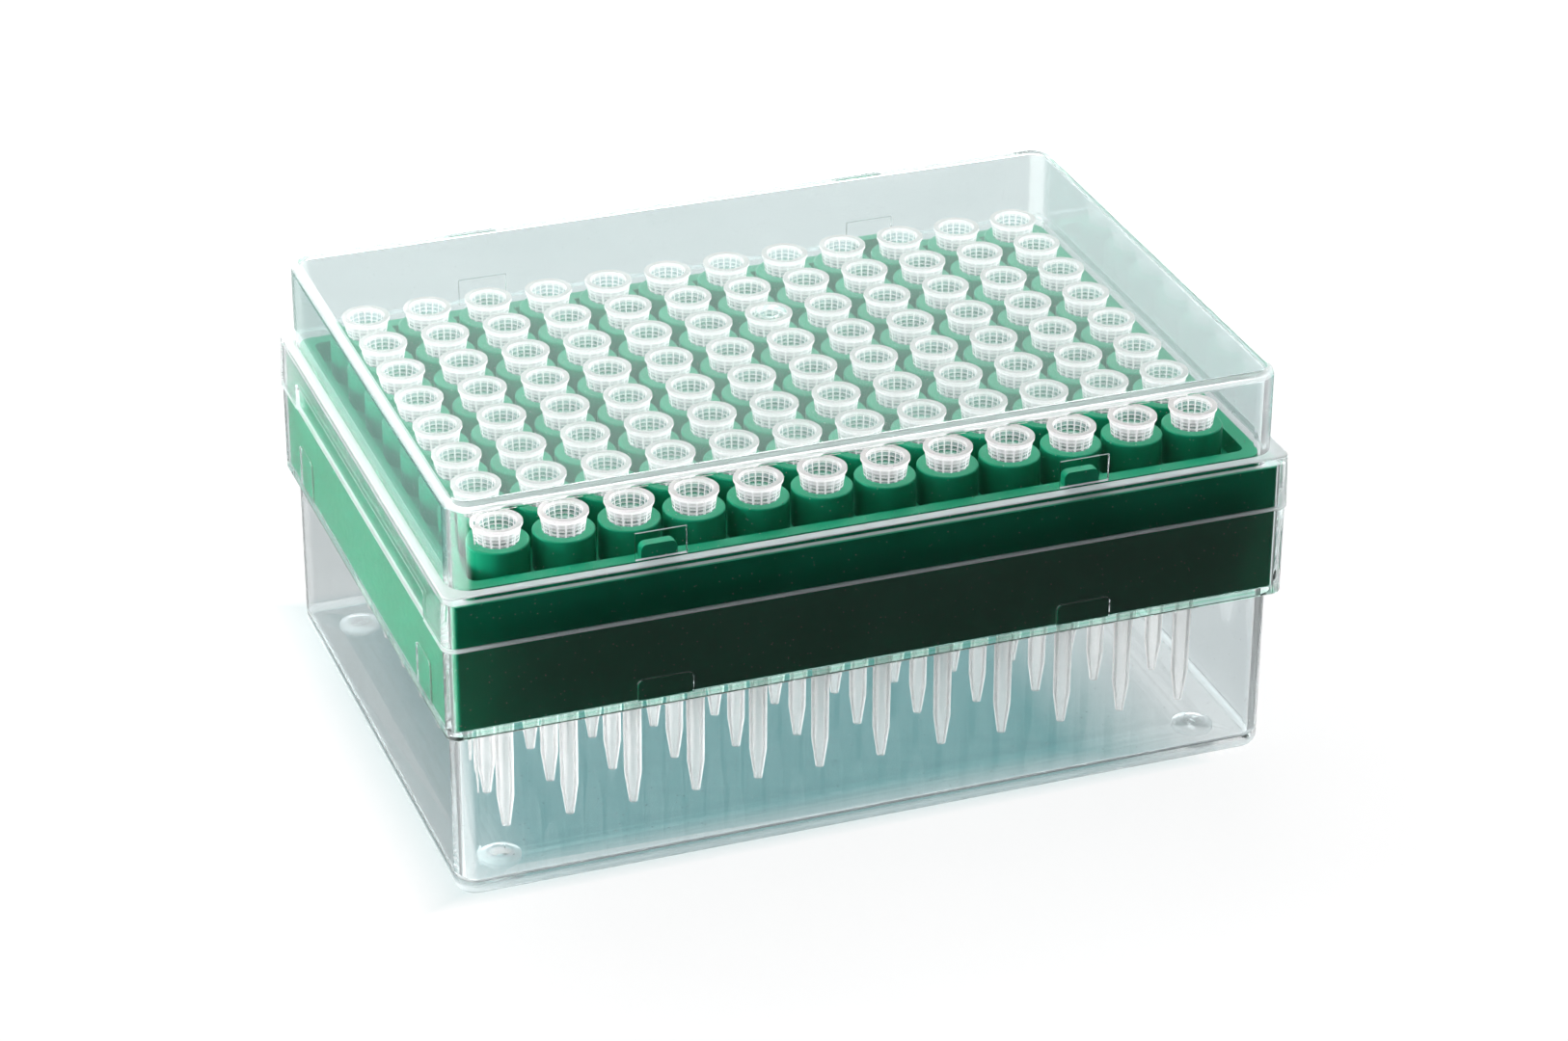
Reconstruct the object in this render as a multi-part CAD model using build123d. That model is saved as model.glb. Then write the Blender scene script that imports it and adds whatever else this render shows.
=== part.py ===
from build123d import *
import os

# A 96-place pipette tip box: a clear base, a moulded tray that carries the tips, and a clear cover.
# Millimetres. X runs along the box, Y across it, Z up. The origin is the middle of the underside.

# Tip places
PITCH = 9.0
COLUMNS = 12
ROWS = 8
ROW_LETTERS = "abcdefgh"
TIPS_PER_NODE = 2

# Tip, measured up from its own end
TIP_LENGTH = 46.3
COLLAR_SHOWN = 2.7
MOUTH_RADIUS = 2.6
MOUTH_TAPER = 0.25
COLLAR_WALL = 0.5
RIM_OUT = 0.25
RIM_HEIGHT = 0.35
LIP_HEIGHT = 0.45
SEAT_WIDTH = 0.35
BODY_HEIGHT = 6.0
SHAFT_RADIUS = 1.3
SHAFT_TAPER = 0.1
SHAFT_TOP = 17.0
SHAFT_WALL = 0.55
NOZZLE_HEIGHT = 4.5
NOZZLE_RADIUS = 0.58
NOZZLE_BORE = 0.25
RIBS = 16
RIB_WIDTH = 0.3
RIB_HEIGHT = 0.12
RIB_DROP = 0.3

# Base
END_MARGIN = 9.15
SIDE_MARGIN = 9.55
FLOOR = 1.6
TIP_GAP = 3.2
WALL = 1.2
BOX_RADIUS = 3.0
FOOT_RADIUS = 1.6
FLOOR_FILLET = 1.0
COLLAR_HEIGHT = 13.3
COLLAR_OUT = 1.15
COLLAR_RADIUS = 1.6
COLLAR_EDGE = 0.3
LEDGE_THICKNESS = 1.0
INNER_RADIUS = 0.6
DIMPLE_INSET = 7.65
DIMPLE_RADIUS = 2.9
DIMPLE_RISE = 0.8

# Tray
TRAY_CLEARANCE = 0.25
RIM_CLEARANCE = 0.35
TRAY_WALL = 1.2
FLANGE_HEIGHT = 1.5
RECESS_DEPTH = 3.0
RIM_WIDTH = 2.0
RECESS_RADIUS = 1.2
DECK_THICKNESS = 1.4
BOSS_WALL = 1.6
BOSS_HEIGHT = 5.4
BOSS_EDGE = 0.25
BORE_CLEARANCE = 0.1
BORE_LIP = 0.12
TAB_SIZE = (5.0, 1.4, 2.1)
TAB_RADIUS = 0.9
LUG_OUT = 0.5
LUG_PLAY = 0.2
LUG_RADIUS = 0.8
FRONT_LUG = (7.5, 2.9)
SIDE_LUG = (6.0, 6.2)
SIDE_LUG_INSET = 12.2

# Cover
PARTING_GAP = 0.1
COVER_PLAY = 0.4
COVER_ROOM = 6.45
SKIRT_HEIGHT = 8.0
SHOULDER_INSET = 1.35
SHOULDER_THICKNESS = 1.5
COVER_RADIUS = 3.5
COVER_TOP_EDGE = 1.4
TOP_THICKNESS = 1.25
TOP_INNER_FILLET = 0.5
SKIRT_FLARE = 0.25
SKIRT_EDGE = 0.3
POCKET_PLAY = 1.05
POCKET_HEIGHT = 4.0
POCKET_DEPTH = 0.5
GRIP_INSET = 9.7
GRIP_HEIGHT = 4.1
GRIP_DEPTH = 0.35
GATE_RADIUS = 2.1
GATE_DEPTH = 0.6
GATE_NUB = 1.0

# How near two heights are to count as one
SAME_LEVEL = 0.001

# Radii of a tip and of the sleeve that it hangs in
NECK_RADIUS = MOUTH_RADIUS + COLLAR_WALL
RIM_RADIUS = NECK_RADIUS + RIM_OUT
SEAT_RADIUS = NECK_RADIUS - MOUTH_TAPER
BODY_RADIUS = SEAT_RADIUS - SEAT_WIDTH
BORE_RADIUS = BODY_RADIUS + BORE_CLEARANCE
BOSS_RADIUS = BORE_RADIUS + BOSS_WALL

# Heights, built up from the floor by the tip that has to fit
TIP_SEAT = TIP_LENGTH - COLLAR_SHOWN
TIP_END_Z = FLOOR + TIP_GAP
BOSS_TOP_Z = TIP_END_Z + TIP_SEAT
DECK_Z = BOSS_TOP_Z - BOSS_HEIGHT
UNDERSIDE_Z = DECK_Z - DECK_THICKNESS
TRAY_TOP_Z = DECK_Z + FLANGE_HEIGHT
RIM_TOP_Z = DECK_Z + RECESS_DEPTH
SHOULDER_Z = TRAY_TOP_Z + COVER_PLAY + SHOULDER_THICKNESS
PARTING_Z = SHOULDER_Z - SKIRT_HEIGHT
COVER_BOTTOM_Z = PARTING_Z + PARTING_GAP
BOX_HEIGHT = PARTING_Z - COLLAR_HEIGHT
LEDGE_Z = BOX_HEIGHT + LEDGE_THICKNESS
ROOF_Z = BOSS_TOP_Z + COLLAR_SHOWN + COVER_ROOM
COVER_TOP_Z = ROOF_Z + TOP_THICKNESS

# Lengths and widths, built out from the grid of tips
BOX_LENGTH = (COLUMNS - 1) * PITCH + 2 * END_MARGIN
BOX_WIDTH = (ROWS - 1) * PITCH + 2 * SIDE_MARGIN
COLLAR_LENGTH = BOX_LENGTH + 2 * COLLAR_OUT
COLLAR_WIDTH = BOX_WIDTH + 2 * COLLAR_OUT
WELL_LENGTH = COLLAR_LENGTH - 2 * WALL
WELL_WIDTH = COLLAR_WIDTH - 2 * WALL
TRAY_LENGTH = WELL_LENGTH - 2 * TRAY_CLEARANCE
TRAY_WIDTH = WELL_WIDTH - 2 * TRAY_CLEARANCE
COVER_LENGTH = COLLAR_LENGTH - 2 * SHOULDER_INSET
COVER_WIDTH = COLLAR_WIDTH - 2 * SHOULDER_INSET
ROOM_LENGTH = COVER_LENGTH - 2 * WALL
ROOM_WIDTH = COVER_WIDTH - 2 * WALL
RIM_LENGTH = ROOM_LENGTH - 2 * RIM_CLEARANCE
RIM_BREADTH = ROOM_WIDTH - 2 * RIM_CLEARANCE
RECESS_LENGTH = RIM_LENGTH - 2 * RIM_WIDTH
RECESS_WIDTH = RIM_BREADTH - 2 * RIM_WIDTH
CATCH_X = COLLAR_LENGTH / 4
SIDE_LUG_Y = COLLAR_WIDTH / 2 - SIDE_LUG_INSET
DIMPLE_X = BOX_LENGTH / 2 - DIMPLE_INSET
DIMPLE_Y = BOX_WIDTH / 2 - DIMPLE_INSET


def prism(length, width, radius, bottom, top):
    """An upright block with rounded vertical edges."""
    outline = Plane.XY.offset(bottom) * RectangleRounded(length, width, radius)
    return extrude(outline, amount=top - bottom)


def block(length, width, bottom, top, x=0, y=0):
    """An upright block with square edges, centred on x, y."""
    return Pos(x, y, (bottom + top) / 2) * Box(length, width, top - bottom)


def edges_at(solid, z):
    """The edges of a solid that lie flat at one height."""
    return solid.edges().filter_by_position(Axis.Z, z - SAME_LEVEL, z + SAME_LEVEL)


def mirrored(make):
    """One feature made on each of the four quarters, from its two signs."""
    return [make(sx, sy) for sx in (-1, 1) for sy in (-1, 1)]


def front_lug(sx, sy, play, out):
    """A catch on a long side at the foot of the tray's skirt, grown by the play round it."""
    wide, tall = FRONT_LUG
    face = TRAY_WIDTH / 2
    lug = block(wide + 2 * play, 2 * out, LEDGE_Z, LEDGE_Z + tall + play, sx * CATCH_X, sy * face)
    return fillet(lug.edges().filter_by(Axis.Y).sort_by(Axis.Z)[-2:], LUG_RADIUS)


def side_lug(sx, sy, play, out):
    """A catch on a short side at the foot of the tray's skirt, grown by the play round it."""
    wide, tall = SIDE_LUG
    face = TRAY_LENGTH / 2
    lug = block(2 * out, wide + 2 * play, LEDGE_Z, LEDGE_Z + tall + play, sx * face, sy * SIDE_LUG_Y)
    return fillet(lug.edges().filter_by(Axis.X).sort_by(Axis.Z)[-2:], LUG_RADIUS)


def dimple(sx, sy, z):
    """A shallow cap of a sphere standing on the level z at one corner of the floor."""
    ball = (DIMPLE_RADIUS**2 + DIMPLE_RISE**2) / (2 * DIMPLE_RISE)
    cap = Pos(0, 0, DIMPLE_RISE - ball) * Sphere(ball)
    cap &= Pos(0, 0, DIMPLE_RISE / 2) * Box(4 * DIMPLE_RADIUS, 4 * DIMPLE_RADIUS, DIMPLE_RISE)
    return Pos(sx * DIMPLE_X, sy * DIMPLE_Y, z) * cap


def make_base():
    """The clear lower box, which widens by a step into the collar that holds the tray."""
    box = prism(BOX_LENGTH, BOX_WIDTH, BOX_RADIUS, 0, LEDGE_Z)
    box = fillet(edges_at(box, 0), FOOT_RADIUS)
    collar = prism(COLLAR_LENGTH, COLLAR_WIDTH, COLLAR_RADIUS, BOX_HEIGHT, PARTING_Z)
    collar = fillet(edges_at(collar, BOX_HEIGHT), COLLAR_EDGE)
    hollow = prism(BOX_LENGTH - 2 * WALL, BOX_WIDTH - 2 * WALL, BOX_RADIUS - WALL, FLOOR, PARTING_Z)
    hollow = fillet(edges_at(hollow, FLOOR), FLOOR_FILLET)
    well = prism(WELL_LENGTH, WELL_WIDTH, INNER_RADIUS, LEDGE_Z, PARTING_Z)
    base = box + collar - hollow - well
    base += mirrored(lambda sx, sy: dimple(sx, sy, FLOOR))
    base -= mirrored(lambda sx, sy: dimple(sx, sy, 0))
    reach = LUG_OUT + LUG_PLAY
    base -= mirrored(lambda sx, sy: front_lug(sx, sy, LUG_PLAY, reach))
    base -= mirrored(lambda sx, sy: side_lug(sx, sy, LUG_PLAY, reach))
    return base


def cover_pocket(sx, sy):
    """The pocket inside the cover's long wall that clears one of the tray's tabs."""
    wide = TAB_SIZE[0] + 2 * POCKET_PLAY
    top = SHOULDER_Z + POCKET_HEIGHT
    return block(wide, 2 * POCKET_DEPTH, SHOULDER_Z, top, sx * CATCH_X, sy * ROOM_WIDTH / 2)


def grip(sx):
    """A shallow finger grip on one short side of the cover's skirt."""
    long = COLLAR_WIDTH - 2 * GRIP_INSET
    top = COVER_BOTTOM_Z + GRIP_HEIGHT
    hollow = block(2 * GRIP_DEPTH, long, COVER_BOTTOM_Z, top, sx * COLLAR_LENGTH / 2, 0)
    return fillet(hollow.edges().filter_by(Axis.X).sort_by(Axis.Z)[-2:], LUG_RADIUS)


def make_skirt():
    """The cover's skirt, a little wider at its foot than at its shoulder."""
    flare = 2 * SKIRT_FLARE
    radius = COLLAR_RADIUS + SKIRT_FLARE
    foot = RectangleRounded(COLLAR_LENGTH + flare, COLLAR_WIDTH + flare, radius)
    shoulder = RectangleRounded(COLLAR_LENGTH, COLLAR_WIDTH, COLLAR_RADIUS)
    skirt = loft([Plane.XY.offset(COVER_BOTTOM_Z) * foot, Plane.XY.offset(SHOULDER_Z) * shoulder])
    return fillet(edges_at(skirt, SHOULDER_Z), SKIRT_EDGE)


def make_cover():
    """The clear cover: a flat-topped box on a wider skirt that stands on the base's collar."""
    upper = prism(COVER_LENGTH, COVER_WIDTH, COVER_RADIUS, COVER_BOTTOM_Z, COVER_TOP_Z)
    upper = fillet(edges_at(upper, COVER_TOP_Z), COVER_TOP_EDGE)
    room = prism(ROOM_LENGTH, ROOM_WIDTH, COVER_RADIUS - WALL, COVER_BOTTOM_Z, ROOF_Z)
    room = fillet(edges_at(room, ROOF_Z), TOP_INNER_FILLET)
    under = SHOULDER_Z - SHOULDER_THICKNESS
    skirt_room = prism(WELL_LENGTH, WELL_WIDTH, INNER_RADIUS, COVER_BOTTOM_Z, under)
    cover = upper + make_skirt() - room - skirt_room
    cover -= mirrored(cover_pocket)
    cover -= [grip(sx) for sx in (-1, 1)]
    gate = Pos(0, 0, COVER_TOP_Z - GATE_DEPTH / 2) * Cylinder(GATE_RADIUS, GATE_DEPTH)
    nub = Pos(0, 0, COVER_TOP_Z - GATE_DEPTH) * Cylinder(GATE_NUB, GATE_DEPTH)
    return cover - (gate - nub)


def places():
    """The centre of each tip place, as column, row, x, y, with row a at the back."""
    for column in range(COLUMNS):
        for row in range(ROWS):
            x = (column - (COLUMNS - 1) / 2) * PITCH
            y = ((ROWS - 1) / 2 - row) * PITCH
            yield column, row, x, y


def tab(sx, sy):
    """An upright tab on the tray's rim, with its free corners rounded."""
    wide, thick, tall = TAB_SIZE
    middle = (RIM_BREADTH - thick) / 2
    upright = block(wide, thick, DECK_Z, RIM_TOP_Z + tall, sx * CATCH_X, sy * middle)
    return fillet(upright.edges().filter_by(Axis.Y).sort_by(Axis.Z)[-2:], TAB_RADIUS)


def boss():
    """One raised sleeve that a tip hangs in, standing on the deck."""
    sleeve = Pos(0, 0, (DECK_Z + BOSS_TOP_Z) / 2) * Cylinder(BOSS_RADIUS, BOSS_HEIGHT)
    return fillet(edges_at(sleeve, BOSS_TOP_Z), BOSS_EDGE)


def bore():
    """The hole through one sleeve and the deck, with a widened mouth."""
    hole = Pos(0, 0, (UNDERSIDE_Z + BOSS_TOP_Z) / 2) * Cylinder(BORE_RADIUS, BOSS_TOP_Z - UNDERSIDE_Z)
    mouth = Pos(0, 0, BOSS_TOP_Z - BORE_LIP / 2) * Cone(BORE_RADIUS, BORE_RADIUS + BORE_LIP, BORE_LIP)
    return hole + mouth


def make_tray():
    """The tray: a skirt that stands on the base's ledge, a rim inside the cover, and a deck of sleeves."""
    shell = prism(TRAY_LENGTH, TRAY_WIDTH, INNER_RADIUS, LEDGE_Z, TRAY_TOP_Z)
    rim = prism(RIM_LENGTH, RIM_BREADTH, COVER_RADIUS - WALL, DECK_Z, RIM_TOP_Z)
    inside = 2 * TRAY_WALL
    under = prism(TRAY_LENGTH - inside, TRAY_WIDTH - inside, INNER_RADIUS, LEDGE_Z, UNDERSIDE_Z)
    recess = prism(RECESS_LENGTH, RECESS_WIDTH, RECESS_RADIUS, DECK_Z, RIM_TOP_Z)
    tray = shell + rim - under - recess
    tray += mirrored(tab)
    tray += mirrored(lambda sx, sy: front_lug(sx, sy, 0, LUG_OUT))
    tray += mirrored(lambda sx, sy: side_lug(sx, sy, 0, LUG_OUT))
    sleeve = boss()
    hole = bore()
    tray += [Pos(x, y, 0) * sleeve for column, row, x, y in places()]
    tray -= [Pos(x, y, 0) * hole for column, row, x, y in places()]
    return tray


def turned(points):
    """A solid turned about Z from an outline given as radius and height."""
    outline = make_face(Polyline([(r, 0, z) for r, z in points], close=True))
    return revolve(outline, Axis.Z)


def tip_outside():
    """A tip's outer form: a lipped collar on a body that narrows to a nozzle."""
    return turned([
        (0, 0),
        (NOZZLE_RADIUS, 0),
        (SHAFT_RADIUS - SHAFT_TAPER, NOZZLE_HEIGHT),
        (SHAFT_RADIUS, SHAFT_TOP),
        (BODY_RADIUS, TIP_SEAT - BODY_HEIGHT),
        (BODY_RADIUS, TIP_SEAT),
        (SEAT_RADIUS, TIP_SEAT),
        (NECK_RADIUS, TIP_LENGTH - RIM_HEIGHT - LIP_HEIGHT),
        (RIM_RADIUS, TIP_LENGTH - RIM_HEIGHT),
        (RIM_RADIUS, TIP_LENGTH),
        (0, TIP_LENGTH),
    ])


def tip_inside():
    """The room inside a tip, open at both ends."""
    shaft = SHAFT_RADIUS - SHAFT_WALL
    return turned([
        (0, 0),
        (NOZZLE_BORE, 0),
        (shaft - SHAFT_TAPER, NOZZLE_HEIGHT),
        (shaft, SHAFT_TOP),
        (BODY_RADIUS - SHAFT_WALL, TIP_SEAT - BODY_HEIGHT),
        (MOUTH_RADIUS - MOUTH_TAPER, TIP_SEAT),
        (MOUTH_RADIUS, TIP_LENGTH),
        (0, TIP_LENGTH),
    ])


def mouth_ribs():
    """The small upright ribs inside a tip's mouth, rooted in its wall."""
    top = TIP_LENGTH - RIB_DROP
    blade = Pos(0, 0, (TIP_SEAT + top) / 2) * Box(2 * RIM_RADIUS, RIB_WIDTH, top - TIP_SEAT)
    blades = [Rot(0, 0, (turn + 0.5) * 360 / RIBS) * blade for turn in range(RIBS // 2)]
    ring = turned([
        (MOUTH_RADIUS - MOUTH_TAPER - RIB_HEIGHT, TIP_SEAT),
        (MOUTH_RADIUS, TIP_SEAT),
        (MOUTH_RADIUS + RIB_HEIGHT, top),
        (MOUTH_RADIUS - RIB_HEIGHT, top),
    ])
    return Part() + [ring & each for each in blades]


def make_tip():
    """One tip, with its end at the origin."""
    return tip_outside() - tip_inside() + mouth_ribs()


def write(name, solids):
    """One STEP file for one node."""
    shape = solids[0] if len(solids) == 1 else Compound(children=solids)
    shape.label = name
    export_step(shape, f"parts/{name}.step")


def main():
    os.makedirs("parts", exist_ok=True)
    write("base_box", [make_base()])
    write("cover", [make_cover()])
    write("tip_tray", [make_tray()])
    tip = make_tip()
    groups = {}
    for column, row, x, y in places():
        first = row - row % TIPS_PER_NODE
        letters = ROW_LETTERS[first:first + TIPS_PER_NODE]
        groups.setdefault(f"tips_{column + 1:02d}_{letters}", []).append(Pos(x, y, TIP_END_Z) * tip)
    for name, tips in groups.items():
        write(name, tips)


main()
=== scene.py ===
import math

import bpy
from mathutils import Matrix, Vector


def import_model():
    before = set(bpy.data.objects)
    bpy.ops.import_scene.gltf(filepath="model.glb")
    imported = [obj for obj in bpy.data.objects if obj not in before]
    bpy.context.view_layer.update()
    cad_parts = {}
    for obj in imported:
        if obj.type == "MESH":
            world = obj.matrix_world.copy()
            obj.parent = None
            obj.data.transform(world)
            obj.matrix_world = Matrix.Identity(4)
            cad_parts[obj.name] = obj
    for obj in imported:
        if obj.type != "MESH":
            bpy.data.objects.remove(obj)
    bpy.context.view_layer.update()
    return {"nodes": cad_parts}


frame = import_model()
nodes = frame["nodes"]
scene = bpy.context.scene

# Places on the object, in metres. A pair is where a change starts and where it is complete.
PITCH = 0.009
FOOT = (0.0014, 0.0022)
STEP_LOW = (0.0251, 0.0252)
STEP_HIGH = (0.0261, 0.0262)
PARTING_HEIGHT = 0.03845
PARTING_HALF = (0.00015, 0.00022)
COVER_WALL = (0.0468, 0.0480)
COVER_PLATE = (0.0470, 0.0500)
COVER_END = (0.0579, 0.0582)

# The tips, in metres. RIB_WIDTH is an angle in radians.
RIBS = 16
RIB_WIDTH = 0.06
RING_STEP = 0.00058
RING_WIDTH = 0.00009
SHAFT_TOP = (0.040, 0.049)
MOUTH_LOW = (0.0476, 0.0479)
COLLAR_FADE = (0.0494, 0.0498)
RIM_LOW = (0.0504, 0.0507)
MOUTH_OUTSIDE = (0.00272, 0.00280)

# The painted teal shadow on the floor under the box, in metres.
TEAL_SHADOW_CENTRE = (-0.007, 0.002)
TEAL_SHADOW_HALF = (0.058, 0.045)
TEAL_SHADOW_FADE = 0.020

# Colours, as linear red, green and blue.
WHITE = (1.0, 1.0, 1.0)
SCUFF_WHITE = (0.92, 0.93, 0.92)
# The tray's green, painted as a reflection on the cover's film.
PAINTED_TRAY_GREEN = (0.34, 0.86, 0.72)
# A painted highlight on the plastic's edges, parting line and foot.
EDGE_LIGHT = (0.95, 0.96, 0.96)
# The tray's green, painted as a glow in the base's step.
PAINTED_STEP_MINT = (0.42, 0.78, 0.64)
# A painted shadow on the floor under the box, teal.
PAINTED_SHADOW_TEAL = (0.23, 0.50, 0.51)
WARM_LAMP = (1.0, 0.975, 0.96)
COOL_LAMP = (0.96, 0.99, 1.0)

# How much of the background a ray shows that was mirrored once.
FLOOR_MIRRORED = 0.09
WORLD_MIRRORED = 0.55


# ---------------------------------------------------------------- nodes
def new_material(name):
    """An empty node material with its output node."""
    mat = bpy.data.materials.new(name)
    mat.use_nodes = True
    tree = mat.node_tree
    tree.nodes.clear()
    out = tree.nodes.new("ShaderNodeOutputMaterial")
    return mat, tree, out


def add(tree, kind, **settings):
    """A new node, with its properties set."""
    node = tree.nodes.new(kind)
    for key, value in settings.items():
        setattr(node, key, value)
    return node


def put(node, **values):
    """Sets input sockets by name, with _ for a space. Gives the node back."""
    for key, value in values.items():
        node.inputs[key.replace("_", " ")].default_value = value
    return node


def paint(tree, kind, colour):
    """A plain shader of one kind and one colour. Gives its output."""
    return put(add(tree, kind), Color=(*colour, 1)).outputs[0]


def calc(tree, operation, first, second=None):
    """One step of arithmetic on sockets and numbers."""
    node = add(tree, "ShaderNodeMath", operation=operation)
    for slot, value in enumerate((first, second)):
        if isinstance(value, (int, float)):
            node.inputs[slot].default_value = value
        elif value is not None:
            tree.links.new(value, node.inputs[slot])
    return node.outputs[0]


def one_less(tree, share):
    """What a share leaves of 1."""
    return calc(tree, "SUBTRACT", 1.0, share)


def split(tree, kind):
    """The three parts of a texture coordinate, such as Object or Normal."""
    place = add(tree, "ShaderNodeTexCoord")
    parts = add(tree, "ShaderNodeSeparateXYZ")
    tree.links.new(place.outputs[kind], parts.inputs[0])
    return parts.outputs["X"], parts.outputs["Y"], parts.outputs["Z"]


def noise(tree, scale, detail=3.0):
    """Noise over the object's own coordinates, in metres."""
    place = add(tree, "ShaderNodeTexCoord")
    tex = put(add(tree, "ShaderNodeTexNoise"), Scale=scale, Detail=detail)
    tree.links.new(place.outputs["Object"], tex.inputs["Vector"])
    return tex.outputs["Fac"]


def ranged(tree, source, low, high, start=0.3, end=0.7):
    """A value taken from start..end to low..high."""
    node = add(tree, "ShaderNodeMapRange")
    put(node, From_Min=start, From_Max=end, To_Min=low, To_Max=high)
    tree.links.new(source, node.inputs["Value"])
    return node.outputs["Result"]


def past(tree, source, change):
    """0 before a change starts and 1 once it is complete."""
    return ranged(tree, source, 0.0, 1.0, *change)


def before(tree, source, change):
    """1 before a change starts and 0 once it is complete."""
    return ranged(tree, source, 1.0, 0.0, *change)


def between(tree, source, first, second, start=0.3, end=0.7):
    """A colour between two, by a value."""
    ramp = add(tree, "ShaderNodeValToRGB")
    ramp.color_ramp.elements[0].position = start
    ramp.color_ramp.elements[1].position = end
    ramp.color_ramp.elements[0].color = (*first, 1)
    ramp.color_ramp.elements[1].color = (*second, 1)
    tree.links.new(source, ramp.inputs["Fac"])
    return ramp.outputs["Color"]


def towards(tree, tint, colour, share):
    """The tint, gone to a colour by a share."""
    mix = add(tree, "ShaderNodeMix", data_type="RGBA")
    tree.links.new(share, mix.inputs[0])
    tree.links.new(tint, mix.inputs[6])
    mix.inputs[7].default_value = (*colour, 1)
    return mix.outputs[2]


def bump(tree, source, shader, distance, strength):
    """Raises a shader's surface by a value."""
    node = put(add(tree, "ShaderNodeBump"), Strength=strength, Distance=distance)
    tree.links.new(source, node.inputs["Height"])
    tree.links.new(node.outputs["Normal"], shader.inputs["Normal"])


def mixed(tree, share, first, second):
    """Two shaders mixed, by a share of the second that is a number or a socket."""
    mix = add(tree, "ShaderNodeMixShader")
    if isinstance(share, float):
        put(mix, Fac=share)
    else:
        tree.links.new(share, mix.inputs["Fac"])
    tree.links.new(first, mix.inputs[1])
    tree.links.new(second, mix.inputs[2])
    return mix.outputs[0]


def lit_through(tree, out, shader, colour):
    """The shader, with lamps shining through it by a colour."""
    path = add(tree, "ShaderNodeLightPath")
    through = paint(tree, "ShaderNodeBsdfTransparent", colour)
    surface = mixed(tree, path.outputs["Is Shadow Ray"], shader, through)
    tree.links.new(surface, out.inputs["Surface"])


# ---------------------------------------------------------------- clear plastic
def dust(tree):
    """1 in small specks, spread over every face."""
    place = add(tree, "ShaderNodeTexCoord")
    cells = put(add(tree, "ShaderNodeTexVoronoi"), Scale=900.0)
    tree.links.new(place.outputs["Object"], cells.inputs["Vector"])
    return ranged(tree, cells.outputs["Distance"], 1.0, 0.0, 0.06, 0.09)


def haze_and_green_reflection(tree, walls, top, ledge, ends):
    """How much of the plastic carries a film of scuff marks and dust, and how much of that film takes
    a painted reflection of the tray's green.

    walls is the share everywhere, top the share added on the cover's plate, ledge the share added
    on faces below it that look up, and ends the share added on the outside of the cover's short
    walls, which is all painted green reflection. Specks of dust stay white.
    """
    facing_x, _, facing_z = split(tree, "Normal")
    x, _, height = split(tree, "Object")
    up = past(tree, facing_z, (0.5, 0.95))
    flat = calc(tree, "MULTIPLY", ranged(tree, height, ledge, top, *COVER_PLATE), up)
    # On the plate and the outside of the short walls the film takes a painted reflection of the
    # tray's green.
    plate = calc(tree, "MULTIPLY", ranged(tree, height, 0.0, 0.55, *COVER_PLATE), up)
    along = past(tree, calc(tree, "ABSOLUTE", facing_x), (0.8, 0.98))
    outside = past(tree, calc(tree, "ABSOLUTE", x), COVER_END)
    on_end = calc(tree, "MULTIPLY", along, outside)
    end = calc(tree, "MULTIPLY", on_end, past(tree, height, COVER_WALL))
    added = calc(tree, "ADD", flat, calc(tree, "MULTIPLY", end, ends))
    film_share = calc(tree, "ADD", added, walls)
    specks = dust(tree)
    painted_green_share = calc(tree, "MULTIPLY", calc(tree, "MAXIMUM", plate, end), one_less(tree, specks))
    return calc(tree, "MAXIMUM", film_share, calc(tree, "MULTIPLY", specks, 0.35)), painted_green_share


def painted_edge_light(tree):
    """1 on the rounded edges, and the share of a painted highlight there: a white lit film in place
    of light that gathers in the plastic.

    It is strongest at the edges that look up, at the parting line and along the foot.
    """
    facing = split(tree, "Normal")
    _, _, height = split(tree, "Object")
    x, y, z = (calc(tree, "ABSOLUTE", part) for part in facing)
    flat = calc(tree, "MAXIMUM", calc(tree, "MAXIMUM", x, y), z)
    edge = before(tree, flat, (0.93, 0.99))
    rounded = calc(tree, "MULTIPLY", edge, ranged(tree, facing[2], 0.15, 0.42, 0.1, 0.4))
    off = calc(tree, "ABSOLUTE", calc(tree, "SUBTRACT", height, PARTING_HEIGHT))
    parting = ranged(tree, off, 0.6, 0.0, *PARTING_HALF)
    low = ranged(tree, height, 0.7, 0.0, *FOOT)
    foot = calc(tree, "MULTIPLY", low, before(tree, z, (0.5, 0.9)))
    return edge, calc(tree, "MAXIMUM", foot, calc(tree, "MAXIMUM", rounded, parting))


def painted_step_glow(tree, tint):
    """The tint, with a painted glow of the tray's green in the thick step that the tray stands on."""
    _, _, height = split(tree, "Object")
    step = calc(tree, "MULTIPLY", past(tree, height, STEP_LOW), before(tree, height, STEP_HIGH))
    return towards(tree, tint, PAINTED_STEP_MINT, step)


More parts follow.
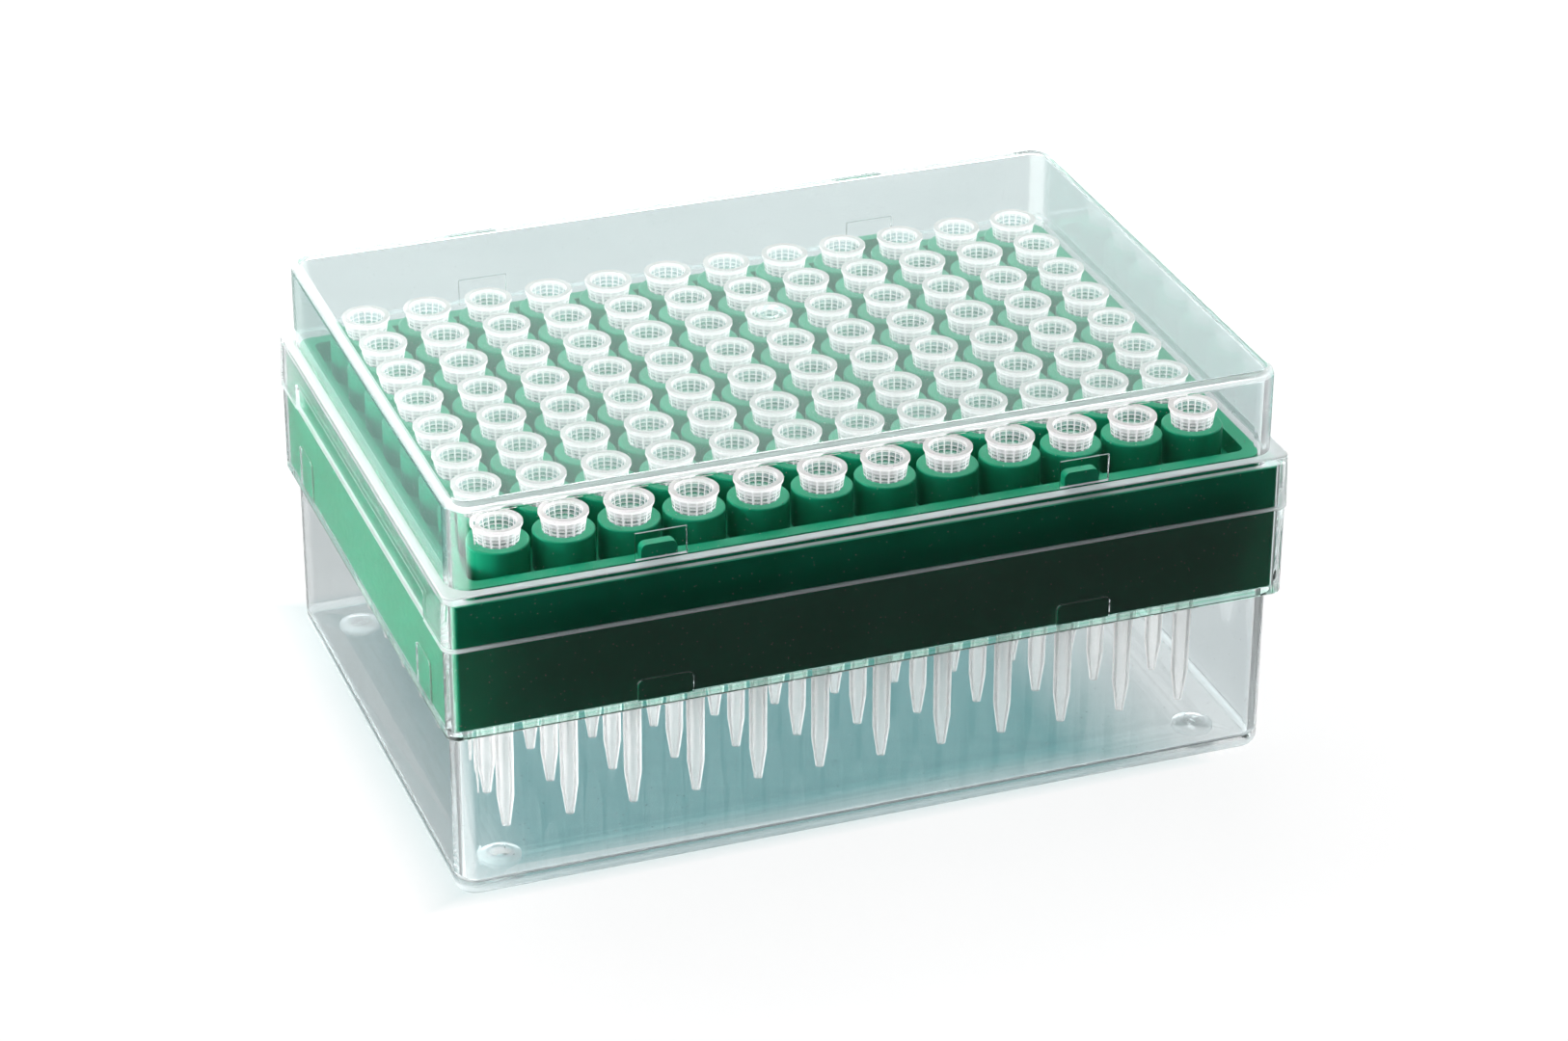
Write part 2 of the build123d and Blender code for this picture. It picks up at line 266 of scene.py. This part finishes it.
def clear_plastic(name, pale, deep, walls, top, ledge, ends=0.0, shine=0.01, step=False):
    """Injection-moulded clear polystyrene, tinted from pale to deep, with painted edge highlights.

    walls, top, ledge and ends are the shares of a film of scuff marks and dust, and of a painted
    reflection of the tray's green. shine scales how much it mirrors head-on. step is true for the
    piece that the tray stands on, and gives it a painted glow of the tray's green.
    """
    mat, tree, out = new_material(name)
    shader = put(add(tree, "ShaderNodeBsdfPrincipled"), IOR=1.59, Transmission_Weight=1.0)
    put(shader, Specular_Tint=(shine, shine, shine, 1))
    tint = between(tree, noise(tree, 60.0), deep, pale)
    if step:
        # A painted glow of the tray's green in the step.
        tint = painted_step_glow(tree, tint)
    edge, strength = painted_edge_light(tree)
    # The tint goes to white on the rounded edges: a painted highlight that lightens their outline.
    tree.links.new(towards(tree, tint, WHITE, edge), shader.inputs["Base Color"])
    tree.links.new(ranged(tree, noise(tree, 900.0, 4.0), 0.0, 0.04), shader.inputs["Roughness"])
    bump(tree, noise(tree, 60.0, 1.0), shader, 0.0001, 0.15)
    share, painted_green_share = haze_and_green_reflection(tree, walls, top, ledge, ends)
    film = add(tree, "ShaderNodeBsdfDiffuse")
    # The film's green is a painted reflection of the tray.
    scuff_and_reflection_colour = between(tree, painted_green_share, SCUFF_WHITE, PAINTED_TRAY_GREEN, 0.0, 1.0)
    tree.links.new(scuff_and_reflection_colour, film.inputs["Color"])
    # A white lit film: a painted highlight on the edges, the parting line and the foot.
    front = paint(tree, "ShaderNodeBsdfDiffuse", EDGE_LIGHT)
    back = paint(tree, "ShaderNodeBsdfTranslucent", EDGE_LIGHT)
    painted_edge_film = mixed(tree, 0.5, front, back)
    clear = mixed(tree, share, shader.outputs[0], film.outputs[0])
    lit_through(tree, out, mixed(tree, strength, clear, painted_edge_film), pale)
    return mat


# ---------------------------------------------------------------- tray and tips
def green_plastic():
    """Green polypropylene with a fine moulded skin. A little light comes through it."""
    mat, tree, out = new_material("green_plastic")
    shader = put(add(tree, "ShaderNodeBsdfPrincipled"), IOR=1.49, Specular_Tint=(0.08, 0.12, 0.10, 1))
    tint = between(tree, noise(tree, 90.0), (0.003, 0.235, 0.110), (0.008, 0.285, 0.142))
    tree.links.new(tint, shader.inputs["Base Color"])
    tree.links.new(ranged(tree, noise(tree, 700.0), 0.30, 0.42), shader.inputs["Roughness"])
    bump(tree, noise(tree, 2500.0), shader, 0.00002, 0.4)
    glow = paint(tree, "ShaderNodeBsdfTranslucent", (0.02, 0.50, 0.25))
    tree.links.new(mixed(tree, 0.04, shader.outputs[0], glow), out.inputs["Surface"])
    return mat


def repeated(tree, source, step):
    """0 to 1 along each step of a value. The 100 keeps it going the same way below zero."""
    return calc(tree, "FRACT", calc(tree, "ADD", calc(tree, "DIVIDE", source, step), 100.0))


def from_nearest_tip(tree, socket):
    """A distance along one axis from the axis of the tip that stands there, in metres."""
    return calc(tree, "MULTIPLY", calc(tree, "SUBTRACT", repeated(tree, socket, PITCH), 0.5), PITCH)


def lines(tree, source, step, width):
    """1 on lines that repeat along a value, soft at their edges."""
    off = calc(tree, "ABSOLUTE", calc(tree, "SUBTRACT", repeated(tree, source, step), 0.5))
    return past(tree, off, (0.5 - width / step, 0.5 - 0.4 * width / step))


def tip_zones(tree):
    """Shares over a tip's surface: the windows of its mouth, its outer collar, and its milkiness."""
    x, y, height = split(tree, "Object")
    across = from_nearest_tip(tree, x)
    along = from_nearest_tip(tree, y)
    turn = calc(tree, "ADD", calc(tree, "ARCTAN2", along, across), math.pi / RIBS)
    upright = lines(tree, turn, 2 * math.pi / RIBS, RIB_WIDTH)
    level = lines(tree, height, RING_STEP, RING_WIDTH)
    ribs = calc(tree, "MAXIMUM", upright, level)
    plain = calc(tree, "MAXIMUM", past(tree, height, RIM_LOW), before(tree, height, MOUTH_LOW))
    pane = one_less(tree, calc(tree, "MAXIMUM", ribs, plain))
    squares = (calc(tree, "MULTIPLY", side, side) for side in (across, along))
    away = calc(tree, "SQRT", calc(tree, "ADD", *squares))
    outer = past(tree, away, MOUTH_OUTSIDE)
    window = calc(tree, "MULTIPLY", pane, one_less(tree, outer))
    fade = ranged(tree, height, 0.75, 0.2, *COLLAR_FADE)
    collar = calc(tree, "MULTIPLY", calc(tree, "MULTIPLY", pane, outer), fade)
    return window, collar, ranged(tree, height, 0.3, 1.0, *SHAFT_TOP)


def tip_plastic():
    """Natural polypropylene: milky, most at its edges, and light passes through it."""
    mat, tree, out = new_material("tip_plastic")
    shader = put(add(tree, "ShaderNodeBsdfPrincipled"), IOR=1.49, Transmission_Weight=1.0)
    window, collar, depth = tip_zones(tree)
    # Between the ribs inside the mouth the tint is a dark teal: painted shade in the mouth.
    tint = between(tree, window, (0.96, 0.95, 0.945), (0.28, 0.46, 0.45), 0.0, 1.0)
    tree.links.new(tint, shader.inputs["Base Color"])
    tree.links.new(ranged(tree, noise(tree, 1500.0), 0.05, 0.12), shader.inputs["Roughness"])
    skin = paint(tree, "ShaderNodeBsdfDiffuse", (0.92, 0.83, 0.82))
    glow = paint(tree, "ShaderNodeBsdfTranslucent", (0.94, 0.855, 0.84))
    milk = mixed(tree, 0.74, skin, glow)
    edge = put(add(tree, "ShaderNodeLayerWeight"), Blend=0.5).outputs["Facing"]
    thick = calc(tree, "MULTIPLY", ranged(tree, edge, 0.55, 1.0, 0.35, 0.9), depth)
    thin = ranged(tree, edge, 0.22, 0.97, 0.45, 0.9)
    clear = calc(tree, "MAXIMUM", window, collar)
    share = calc(tree, "MULTIPLY", calc(tree, "MAXIMUM", thick, thin), one_less(tree, clear))
    lit_through(tree, out, mixed(tree, share, shader.outputs[0], milk), (0.985, 0.99, 0.99))
    return mat


def dress():
    """Gives each CAD node its material."""
    materials = {
        # The base carries a painted green glow in its step.
        "base_box": clear_plastic(
            "clear_plastic_base", pale=(0.86, 0.90, 0.905), deep=(0.83, 0.87, 0.88),
            walls=0.004, top=0.02, ledge=0.05, shine=0.4, step=True),
        # The cover carries a painted reflection of the tray's green on its plate and short walls.
        "cover": clear_plastic(
            "clear_plastic_cover", pale=(0.80, 0.82, 0.835), deep=(0.77, 0.795, 0.81),
            walls=0.003, top=0.085, ledge=0.35, ends=0.11),
        "tip_tray": green_plastic(),
    }
    tips = tip_plastic()
    for name in nodes:
        mesh = nodes[name].data
        mesh.materials.clear()
        mesh.materials.append(materials.get(name, tips))


# ---------------------------------------------------------------- stage and light
def background_share(tree, mirrored):
    """1 for a ray that sees the background straight or through plastic.

    It is less for a ray mirrored once, and 0 for light that falls on the object.
    """
    path = add(tree, "ShaderNodeLightPath").outputs
    seen = calc(tree, "MAXIMUM", path["Is Camera Ray"], path["Is Glossy Ray"])
    seen = calc(tree, "MAXIMUM", seen, path["Is Transmission Ray"])
    scattered = calc(tree, "MINIMUM", path["Diffuse Depth"], 1.0)
    reflected = calc(tree, "COMPARE", path["Glossy Depth"], 1.0)
    shown = one_less(tree, calc(tree, "MULTIPLY", reflected, 1.0 - mirrored))
    return calc(tree, "MULTIPLY", calc(tree, "MULTIPLY", seen, one_less(tree, scattered)), shown)


def painted_shadow_under_box(tree):
    """White, with a painted teal shadow under the box, for light coming down through the green tray.
    """
    x, y, _ = split(tree, "Object")
    along = calc(tree, "ABSOLUTE", calc(tree, "SUBTRACT", x, TEAL_SHADOW_CENTRE[0]))
    across = calc(tree, "ABSOLUTE", calc(tree, "SUBTRACT", y, TEAL_SHADOW_CENTRE[1]))
    beside = calc(tree, "SUBTRACT", along, TEAL_SHADOW_HALF[0])
    ahead = calc(tree, "MULTIPLY", calc(tree, "SUBTRACT", across, TEAL_SHADOW_HALF[1]), 2.0)
    far = calc(tree, "MAXIMUM", beside, ahead)
    return between(tree, past(tree, far, (-TEAL_SHADOW_FADE, 0.0)), PAINTED_SHADOW_TEAL, WHITE, 0.0, 1.0)


def floor():
    """A pale table that fades into the white behind it."""
    mesh = bpy.data.meshes.new("floor")
    half = 4.0
    corners = [(-half, -half, 0), (half, -half, 0), (half, half, 0), (-half, half, 0)]
    mesh.from_pydata(corners, [], [(0, 1, 2, 3)])
    piece = bpy.data.objects.new("floor", mesh)
    scene.collection.objects.link(piece)
    mat, tree, out = new_material("floor")
    paper = paint(tree, "ShaderNodeBsdfDiffuse", (0.13, 0.13, 0.13))
    glow = put(add(tree, "ShaderNodeEmission"), Strength=0.89)
    # The floor's glow carries a painted teal shadow under the box.
    tree.links.new(painted_shadow_under_box(tree), glow.inputs["Color"])
    none = put(add(tree, "ShaderNodeEmission"), Strength=0.0)
    shown = mixed(tree, background_share(tree, FLOOR_MIRRORED), none.outputs[0], glow.outputs[0])
    both = add(tree, "ShaderNodeAddShader")
    tree.links.new(shown, both.inputs[0])
    tree.links.new(paper, both.inputs[1])
    tree.links.new(both.outputs[0], out.inputs["Surface"])
    mesh.materials.append(mat)


def world():
    """White behind the object, and a softer even light on it."""
    studio = bpy.data.worlds.new("studio")
    scene.world = studio
    studio.use_nodes = True
    tree = studio.node_tree
    tree.nodes.clear()
    out = add(tree, "ShaderNodeOutputWorld")
    even = put(add(tree, "ShaderNodeBackground"), Color=(0.9, 0.95, 1.0, 1), Strength=0.025)
    white = put(add(tree, "ShaderNodeBackground"), Color=(1, 1, 1, 1), Strength=1.0)
    shown = mixed(tree, background_share(tree, WORLD_MIRRORED), even.outputs[0], white.outputs[0])
    tree.links.new(shown, out.inputs["Surface"])


def softbox(name, place, aim, size, watts, colour):
    """A rectangular soft lamp, width and height in metres."""
    data = bpy.data.lights.new(name, "AREA")
    data.shape = "RECTANGLE"
    data.size, data.size_y = size
    data.energy = watts
    data.color = colour
    lamp = bpy.data.objects.new(name, data)
    scene.collection.objects.link(lamp)
    lamp.location = place
    lamp.rotation_euler = (Vector(aim) - Vector(place)).to_track_quat("-Z", "Y").to_euler()


def lamps():
    """Two warm lamps overhead, and cool ones low at the left, the right and behind."""
    middle = (0, 0, 0.03)
    softbox("over", (-0.03, 0.14, 0.60), middle, (0.8, 0.26), 1.7, WARM_LAMP)
    softbox("high", (-0.06, 0.40, 0.54), middle, (0.8, 0.2), 3.9, WARM_LAMP)
    softbox("left", (-0.60, 0.03, 0.12), middle, (0.25, 0.2), 4.4, COOL_LAMP)
    softbox("right", (0.60, 0.22, 0.16), middle, (0.3, 0.3), 1.5, COOL_LAMP)
    softbox("behind", (0.10, 0.50, 0.055), (0, 0, 0.02), (0.7, 0.09), 2.2, COOL_LAMP)


def camera():
    """The photograph's view."""
    turn, rise, roll = (math.radians(angle) for angle in (-20.25, 28.13, 0.22))
    target = Vector((0.00428, 0.00627, 0.02209))
    distance = 0.64154
    back = Vector((math.sin(turn) * math.cos(rise), -math.cos(turn) * math.cos(rise), math.sin(rise)))
    right = Vector((math.cos(turn), math.sin(turn), 0))
    up = back.cross(right)
    side = right * math.cos(roll) + up * math.sin(roll)
    head = up * math.cos(roll) - right * math.sin(roll)
    place = target + back * distance
    data = bpy.data.cameras.new("camera")
    data.lens = 102.69
    data.sensor_width = 36
    data.clip_start = 0.01
    view = bpy.data.objects.new("camera", data)
    scene.collection.objects.link(view)
    view.matrix_world = Matrix((
        (side.x, head.x, back.x, place.x),
        (side.y, head.y, back.y, place.y),
        (side.z, head.z, back.z, place.z),
        (0, 0, 0, 1),
    ))
    scene.camera = view


dress()
floor()
world()
lamps()
camera()
scene.view_settings.view_transform = "Standard"
scene.cycles.max_bounces = 64
scene.cycles.transmission_bounces = 64
scene.cycles.transparent_max_bounces = 64
scene.cycles.glossy_bounces = 48
scene.cycles.diffuse_bounces = 5
